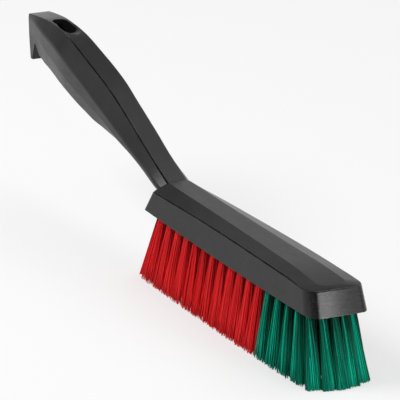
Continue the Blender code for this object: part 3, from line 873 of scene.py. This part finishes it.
def read_tuft(name):
    """Name, mouth of the hole, middle of the tip and reach of the tip, from the tuft's solid."""
    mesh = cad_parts[name].data
    points = np.array([vertex.co for vertex in mesh.vertices])
    tip = points[points[:, 2] < FLOOR_BAND]
    middle = tip.mean(axis=0)
    root = points[points[:, 2] > foot_z + FLOOR_BAND].mean(axis=0)
    share = (foot_z - middle[2]) / (root[2] - middle[2])
    mouth = middle + (root - middle) * share
    reach = np.linalg.norm((tip - middle)[:, :2], axis=1).max()
    return name, Vector(mouth), Vector((middle[0], middle[1], 0.0)), float(reach)


tuft_nodes = sorted(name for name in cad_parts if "_tuft_" in name)
tufts = [read_tuft(name) for name in tuft_nodes]
print("tufts", len(tufts), "reach of the first", round(tufts[0][3], 5))

# %% [markdown]
# On the real brush the holes are drilled after moulding, each leaning as its tuft will. A dark disc at each
# mouth would do from above, but the holes are there to be seen into from below, so they are cut, all as one
# form, because one cut is much quicker than 56.

# %% The drilled holes
HOLE_RADIUS = 0.0021
HOLE_DEPTH = 0.0064
HOLE_SIDES = 24


def hole_frame(mouth, tip):
    """A frame at the mouth of a hole, its Z running up the hole."""
    turn = Vector((0.0, 0.0, 1.0)).rotation_difference((mouth - tip).normalized())
    return Matrix.Translation(mouth) @ turn.to_matrix().to_4x4()


def hole_forms():
    """All the holes as one cutting form, in the block's own place before it is moved."""
    bm = bmesh.new()
    lift = Matrix.Translation((0.0, 0.0, (HOLE_DEPTH - OVERRUN) / 2))
    for _, mouth, tip, _ in tufts:
        place = Matrix.Translation((-nose_x, 0.0, 0.0)) @ hole_frame(mouth, tip)
        bmesh.ops.create_cone(
            bm, cap_ends=True, segments=HOLE_SIDES, radius1=HOLE_RADIUS, radius2=HOLE_RADIUS,
            depth=HOLE_DEPTH + OVERRUN, matrix=place @ lift)
    return mesh_object("hole_forms", bm)


holes = hole_forms()
print("holes", len(tufts))

# %% [markdown]
# Now the grip is united with the block and the openings are cut. The modifiers could be left to work each
# time, but a plain mesh is quicker and can't change any more. It is moved to the frame's place for the
# nose. Weighted normals keep the broad faces calm between their rounded edges.

# %% One moulding
BODY_SHARP_TURN = math.radians(32)


def merge_body():
    """Unites and cuts the moulding, and leaves one plain mesh."""
    for form, operation in ((grip, "UNION"), *((form, "DIFFERENCE") for form in [holes, *openings])):
        cut = body.modifiers.new(form.name, "BOOLEAN")
        cut.operation = operation
        cut.solver = "EXACT"
        cut.object = form
    bpy.context.view_layer.update()
    whole = bpy.data.meshes.new_from_object(body.evaluated_get(bpy.context.evaluated_depsgraph_get()))
    body.modifiers.clear()
    body.data = whole
    for form in [grip, holes, *openings]:
        bpy.data.objects.remove(form)
    whole.transform(Matrix.Translation((nose_x, 0.0, 0.0)))
    whole.shade_smooth()
    whole.set_sharp_from_angle(angle=BODY_SHARP_TURN)
    whole.materials.clear()
    whole.materials.append(plastic)
    weighted = body.modifiers.new("Calm faces", "WEIGHTED_NORMAL")
    weighted.keep_sharp = True
    body.name = "brush_body_moulding"
    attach(body, "root")
    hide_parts("brush_body")


merge_body()
print("moulding faces", len(body.data.polygons))

# %% [markdown]
# The filaments are extruded plastic, dyed in the mass. Each has its own shade and streaks, the roots get a
# painted shade where little light gets in, and the tips are dull from scrubbing. A material for each would
# be far too many, so a number is stored on each filament's points, its own tone with painted shade in it,
# and one material for each dye turns it into a colour.

# %% Filament finishes
FILAMENT_GRAIN_SIZE = 0.0003
FILAMENT_STRETCH = (1.0, 1.0, 0.08)
# Painted shade at the roots: this share of darkening, from the first height down to the second.
ROOT_SHADE_SHARE = 0.45
ROOT_SHADE_BAND = (0.012, 0.036)
TIP_BAND = (0.005, 0.0)
STREAK_SHARE = 0.35
DEEP_PLACE = 0.05
FILAMENT_ROUGHNESS = (0.42, 0.62)
FILAMENT_BUMP = {"Strength": 0.25, "Distance": 0.00004}
RED_DYE = {
    "deep": (0.42, 0.002, 0.004),
    "plain": (0.80, 0.007, 0.010),
    "bright": (0.93, 0.034, 0.040),
    "worn": (0.82, 0.018, 0.022),
    "plain_place": 0.32,
    "shine": 0.22,
}
GREEN_DYE = {
    "deep": (0.000, 0.026, 0.013),
    "plain": (0.000, 0.215, 0.128),
    "bright": (0.001, 0.660, 0.430),
    "worn": (0.001, 0.30, 0.19),
    "plain_place": 0.50,
    "shine": 0.12,
}


def filament_finish(name, deep, plain, bright, worn, plain_place, shine):
    """Glossy filament in four shades of one dye. The plain shade has its place between deep and bright."""
    material, tree, shader = new_material(name)
    strand = add_node(tree, "ShaderNodeAttribute", attribute_name="strand").outputs["Fac"]
    grain = grain_of(tree, FILAMENT_GRAIN_SIZE, FILAMENT_STRETCH)
    place = add_node(tree, "ShaderNodeTexCoord").outputs["Object"]
    height = add_node(tree, "ShaderNodeSeparateXYZ", {0: place}).outputs["Z"]
    # Painted shade at the roots, deepest on filaments whose number is already low.
    root = rescale(tree, height, ROOT_SHADE_BAND, (0.0, ROOT_SHADE_SHARE))
    painted_root_shade = compute(tree, "MULTIPLY", compute(tree, "SUBTRACT", 1.0, strand), root)
    lit = compute(tree, "SUBTRACT", strand, painted_root_shade)
    shade = compute(tree, "MULTIPLY_ADD", grain.outputs["Height"], STREAK_SHARE, lit)
    dyed = ramp(tree, shade, [(DEEP_PLACE, deep), (plain_place, plain), (1.0, bright)])
    aged = compute(tree, "MULTIPLY", rescale(tree, height, TIP_BAND), strand)
    tree.links.new(mix_colours(tree, aged, dyed, opaque(worn)), shader.inputs["Base Color"])
    rough = rescale(tree, grain.outputs["Clouds"], (0.0, 1.0), FILAMENT_ROUGHNESS)
    tree.links.new(rough, shader.inputs["Roughness"])
    bump = add_node(tree, "ShaderNodeBump", {"Height": grain.outputs["Height"], **FILAMENT_BUMP})
    tree.links.new(bump.outputs[0], shader.inputs["Normal"])
    shader.inputs["Specular IOR Level"].default_value = shine
    return material


red = filament_finish("Red filament", **RED_DYE)
green = filament_finish("Green filament", **GREEN_DYE)
print("filament materials", red.name, "and", green.name)

# %% [markdown]
# A tuft is a bundle of filaments folded into its hole. Blender's hair could grow it, but plain meshes are
# pieces like every other. A sunflower pattern fills the round hole evenly. Tufts press on each other, so at
# the tips the pattern is squared and disturbed a little. The draws have a seed, so that the brush is the
# same each time.

# %% How a bundle is packed
FILAMENTS = 130
GOLDEN_ANGLE = math.radians(137.508)
SQUARENESS = 0.75
TIP_JITTER = 0.06
TINY = 1e-6


def bundle_pattern(draw):
    """Each filament's place in the round hole and in the squared tip, both as shares of the reach."""
    order = np.arange(FILAMENTS) + 0.5
    radius = np.sqrt(order / FILAMENTS)
    angle = order * GOLDEN_ANGLE + draw.uniform(0, 2 * math.pi)
    packed = np.stack([np.cos(angle), np.sin(angle)], axis=1) * radius[:, None]
    loose = packed + draw.normal(0, TIP_JITTER, packed.shape)
    length = np.linalg.norm(loose, axis=1, keepdims=True)
    loose = loose / np.maximum(length, 1.0)
    squared = np.minimum(length, 1.0) / np.maximum(np.abs(loose).max(axis=1, keepdims=True), TINY)
    return packed, loose * (1 + SQUARENESS * (squared - 1))


print("filaments in a tuft", FILAMENTS)

# %% [markdown]
# From the side a tuft opens quickly just below its mouth and then widens evenly to the floor. It fans along
# its row until it meets its neighbours. At heel and nose the row turns, and there the fan follows the
# tuft's own lean. Filaments bend a little, end unevenly, and a stray one reaches out. A straight cone would
# look like a broom of straw.

# %% The way that filaments run
FILAMENT_RADIUS = 0.00024
FILAMENT_RINGS = 7
ROOT_RADIUS = 0.00186
ROOT_DEPTH = 0.0050
OPENING_END_SHARE = 0.08
OPENING_SHARE = 0.28
BEND = 0.0005
RAGGED = 0.0010
STRAY_SHARE = 0.015
STRAY_REACH = 1.22

field_low = np.array(cad_box[0])[:2] + FILAMENT_RADIUS
field_high = np.array(cad_box[1])[:2] - FILAMENT_RADIUS


def filament_paths(mouth, tip, long_reach, cross_reach, at_end, draw):
    """Centre lines of a tuft's filaments, and how near each one is to the tufts beside it in its row."""
    packed, fan_places = bundle_pattern(draw)
    strays = draw.uniform(0, 1, (FILAMENTS, 1)) < STRAY_SHARE
    ends = draw.uniform(0, 1, FILAMENTS) ** 2 * RAGGED
    turn = draw.uniform(0, 2 * math.pi, FILAMENTS)
    bend = np.stack([np.cos(turn), np.sin(turn)], axis=1) * draw.uniform(0, BEND, (FILAMENTS, 1))
    axis = np.array(mouth - tip)
    slope = axis[:2] / axis[2]
    lean = slope / np.linalg.norm(slope) if at_end else np.array([0.0, 1.0])
    long_way = np.array([lean[1], -lean[0]])
    long_width, cross_width = long_reach - FILAMENT_RADIUS, cross_reach - FILAMENT_RADIUS
    fanned = fan_places[:, :1] * long_width * long_way + fan_places[:, 1:] * cross_width * lean
    fanned = fanned * np.where(strays, STRAY_REACH, 1.0)
    paths = np.zeros((FILAMENTS, FILAMENT_RINGS, 3))
    steps = [-ROOT_DEPTH / axis[2], 0.0, *np.linspace(OPENING_END_SHARE, 1, FILAMENT_RINGS - 2)]
    for i, share in enumerate(steps):
        fan = float(np.interp(share, (0.0, OPENING_END_SHARE, 1.0), (0.0, OPENING_SHARE, 1.0)))
        height = axis[2] * (1 - share) + ends * max(share, 0.0)
        centre = np.array(mouth)[:2] - slope * (axis[2] - height[:, None])
        across = packed * ROOT_RADIUS * (1 - fan) + fanned * fan
        sway = bend * math.sin(math.pi * max(share, 0.0)) if i else 0.0
        paths[:, i, :2] = np.clip(centre + across + sway, field_low, field_high)
        paths[:, i, 2] = height
    return paths, np.minimum(np.abs(fan_places[:, 0]), 1.0) ** 2


print("filaments keep between", field_low.round(4), "and", field_high.round(4))

# %% [markdown]
# Each path is skinned as a thin rod with four sides. Round rods would look no better at this size and would
# make the mesh heavy. The rods of a tuft are one mesh, so the tuft stays one piece to pick up and to move.

# %% Rods along the paths
FILAMENT_SIDES = 4


def filament_mesh(name, paths):
    """One mesh of closed rods, a ring of points at each step of each path."""
    turns = np.arange(FILAMENT_SIDES) * 2 * math.pi / FILAMENT_SIDES
    rim = np.stack([np.cos(turns), np.sin(turns), np.zeros(FILAMENT_SIDES)], axis=1) * FILAMENT_RADIUS
    points = (paths[:, :, None, :] + rim).reshape(-1, 3)
    faces = []
    for strand in range(FILAMENTS):
        first = strand * FILAMENT_RINGS * FILAMENT_SIDES
        for ring in range(FILAMENT_RINGS - 1):
            low = first + ring * FILAMENT_SIDES
            for side in range(FILAMENT_SIDES):
                a, b = low + side, low + (side + 1) % FILAMENT_SIDES
                faces.append((a, a + FILAMENT_SIDES, b + FILAMENT_SIDES, b))
        last = first + (FILAMENT_RINGS - 1) * FILAMENT_SIDES
        faces.append([first + side for side in range(FILAMENT_SIDES)])
        faces.append([last + side for side in reversed(range(FILAMENT_SIDES))])
    mesh = bpy.data.meshes.new(name)
    mesh.from_pydata(points.tolist(), [], faces)
    return mesh


print("points in a tuft", FILAMENTS * FILAMENT_RINGS * FILAMENT_SIDES)

# %% [markdown]
# Filaments near the next tuft of the row, and those of the middle row, stand in each other's shelter, so
# they get a painted shade: their number is lower and their colour deeper. The renderer finds shadows by
# itself, but these rods are thicker and fewer than real filaments and let too much light in between them.

# %% All the tufts
LONG_REACH_SHARE = 1.24
GREEN_LONG_REACH_SHARE = 1.25
NOSE_LONG_REACH_SHARE = 1.28
CROSS_REACH_SHARE = 0.94
END_CROSS_REACH_SHARE = 0.54
LOWEST_NUMBER = 0.15
SHELTER_PAINTED_SHADE = 0.80
MIDDLE_ROW_PAINTED_SHADE = 0.55
ROD_SHARP_TURN = math.radians(95)


def reach_shares(name):
    """How far a tuft fans along its row and across it, as shares of its solid's reach."""
    if "_nose_" in name:
        return NOSE_LONG_REACH_SHARE, END_CROSS_REACH_SHARE
    if "_heel_" in name:
        return LONG_REACH_SHARE, END_CROSS_REACH_SHARE
    if name.startswith("green"):
        return GREEN_LONG_REACH_SHARE, CROSS_REACH_SHARE
    return LONG_REACH_SHARE, CROSS_REACH_SHARE


def make_tuft(name, mouth, tip, reach, seed):
    """A tuft's filaments as one piece, each point carrying its filament's number: own tone and painted
    shade.
    """
    draw = np.random.default_rng(seed)
    is_green = name.startswith("green")
    at_end = "_nose_" in name or "_heel_" in name
    long_share, cross_share = reach_shares(name)
    paths, sheltered = filament_paths(mouth, tip, reach * long_share, reach * cross_share, at_end, draw)
    mesh = filament_mesh(name + "_filaments", paths)
    # Each filament's random tone, with painted shade where it lies near the next tuft of the row.
    shade = (1 - SHELTER_PAINTED_SHADE * sheltered) * draw.uniform(LOWEST_NUMBER, 1, FILAMENTS)
    # The whole middle row gets a painted shade.
    if "_middle_" in name:
        shade = shade * MIDDLE_ROW_PAINTED_SHADE
    number = np.repeat(shade, FILAMENT_RINGS * FILAMENT_SIDES)
    mesh.attributes.new("strand", "FLOAT", "POINT").data.foreach_set("value", number.astype(np.float32))
    mesh.shade_smooth()
    mesh.set_sharp_from_angle(angle=ROD_SHARP_TURN)
    mesh.materials.append(green if is_green else red)
    item = add_object(name + "_filaments", mesh)
    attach(item, "root")
    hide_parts(name)
    return item


bundles = [make_tuft(*tuft, seed) for seed, tuft in enumerate(tufts)]
print("filaments", FILAMENTS * len(bundles), "in", len(bundles), "tufts")

# %% [markdown]
# The brush stands on a plain pale floor that takes its shadow. More light would make it white, as in a
# studio, but would wash the brush out, so a white glow is mixed in that only the camera, mirrors and glass
# see. It grows with distance, so that the floor has no far edge.

# %% The floor
FLOOR_SIZE = 40.0
FLOOR_GRAIN_SIZE = 0.002
FLOOR_TONES = (0.94, 0.96)
FLOOR_ROUGHNESS = 0.9
FLOOR_SPECULAR = 0.1
FLOOR_GLOW = (0.55, 1.0)
FAR_FLOOR = (0.5, 2.0)


def direct_view(tree):
    """1 for a ray from the camera, a mirror or glass, and 0 for light that only spreads."""
    path = add_node(tree, "ShaderNodeLightPath").outputs
    seen = compute(tree, "MAXIMUM", path["Is Camera Ray"], path["Is Glossy Ray"])
    return compute(tree, "MAXIMUM", seen, path["Is Transmission Ray"])


def make_floor():
    """A plain pale floor under the bristle tips."""
    bm = bmesh.new()
    bmesh.ops.create_grid(bm, x_segments=2, y_segments=2, size=FLOOR_SIZE / 2)
    floor = mesh_object("floor", bm)
    material, tree, shader = new_material("Pale floor")
    clouds = grain_of(tree, FLOOR_GRAIN_SIZE).outputs["Clouds"]
    tone = ramp(tree, clouds, [(0.0, grey(FLOOR_TONES[0])), (1.0, grey(FLOOR_TONES[1]))])
    tree.links.new(tone, shader.inputs["Base Color"])
    shader.inputs["Roughness"].default_value = FLOOR_ROUGHNESS
    shader.inputs["Specular IOR Level"].default_value = FLOOR_SPECULAR
    white = add_node(tree, "ShaderNodeEmission", {"Color": grey(1.0), "Strength": 1.0})
    place = add_node(tree, "ShaderNodeTexCoord").outputs["Object"]
    distance = add_node(tree, "ShaderNodeVectorMath", {0: place}, operation="LENGTH").outputs["Value"]
    glow = rescale(tree, distance, FAR_FLOOR, FLOOR_GLOW, smooth=True)
    share = compute(tree, "MULTIPLY", direct_view(tree), glow)
    mixed = add_node(tree, "ShaderNodeMixShader", {0: share, 1: shader.outputs[0], 2: white.outputs[0]})
    tree.links.new(mixed.outputs[0], tree.nodes["Material Output"].inputs["Surface"])
    floor.data.materials.append(material)


make_floor()
print("floor", FLOOR_SIZE, "m across")

# %% [markdown]
# A product is pictured in a soft white room. The world gives even light from all round, while the camera,
# mirrors and glass see the room's tones: white at the skyline, greyer towards the ceiling and dim on one
# side. A picture of a studio could serve, but two ramps are easier to change and enough for black plastic.

# %% The room
EVEN_LIGHT = 0.36
DARK_SIDE = (0.87, -0.49, 0.0)
SIDE_TONES = ((0.03, 1.0), (0.25, 0.75), (0.60, 0.75), (0.80, 0.25))
SKYLINE = (0.06, 0.20)
ROOM_TONES = ((0.16, 1.0), (0.33, 0.80), (0.48, 0.40), (0.72, 0.28), (0.90, 0.75))


def grey_ramp(tree, value, tones):
    """A ramp through (place, tone) pairs of grey."""
    return ramp(tree, value, [(place, grey(tone)) for place, tone in tones])


def make_world():
    """Even light from all round. Cameras, mirrors and glass see the tones of the room."""
    world = bpy.data.worlds.new("Soft room")
    bpy.context.scene.world = world
    world.use_nodes = True
    tree = world.node_tree
    way = add_node(tree, "ShaderNodeTexCoord").outputs["Generated"]
    rise = add_node(tree, "ShaderNodeSeparateXYZ", {0: way}).outputs["Z"]
    toward = add_node(tree, "ShaderNodeVectorMath", {0: way, 1: DARK_SIDE}, operation="DOT_PRODUCT")
    turned = rescale(tree, toward.outputs["Value"], (-1.0, 1.0))
    above = rescale(tree, rise, SKYLINE)
    room = grey_ramp(tree, rise, ROOM_TONES)
    room = mix_colours(tree, above, room, grey_ramp(tree, turned, SIDE_TONES), blend="MULTIPLY")
    colour = mix_colours(tree, direct_view(tree), grey(EVEN_LIGHT), room)
    tree.links.new(colour, tree.nodes["Background"].inputs["Color"])


make_world()
print("even light of", EVEN_LIGHT, "of white")

# %% [markdown]
# Four soft lamps shape the brush. A large one above and behind draws the pale bands on its upper edges. One
# on the left lights the filaments and the grip. Two small low ones bring out the face and the corner of the
# nose. One strong lamp would give enough light, but the black faces would run together.

# %% The lamps
brush_middle = (0.0, 0.0, foot_z)
nose_middle = (nose_x, 0.0, foot_z)
LAMPS = (
    ("back_lamp", (-0.1, 0.8, 1.5), brush_middle, (1.2, 1.2), 7.0),
    ("nose_lamp", (1.2145, 0.383, 0.368), nose_middle, (0.30, 0.30), 2.8),
    ("right_lamp", (1.0446, 0.6895, 0.368), nose_middle, (0.40, 0.30), 0.6),
    ("left_lamp", (-0.35, -0.95, 1.10), brush_middle, (0.7, 0.7), 12.0),
)


def add_lamp(name, place, aim, size, power):
    """A soft lamp that looks at a point."""
    data = bpy.data.lights.new(name, "AREA")
    data.shape = "RECTANGLE"
    data.size, data.size_y = size
    data.energy = power
    lamp = add_object(name, data)
    lamp.location = place
    lamp.rotation_euler = (Vector(aim) - Vector(place)).to_track_quat("-Z", "Y").to_euler()


for lamp in LAMPS:
    add_lamp(*lamp)
print("lamps", [light.name for light in bpy.data.lights])
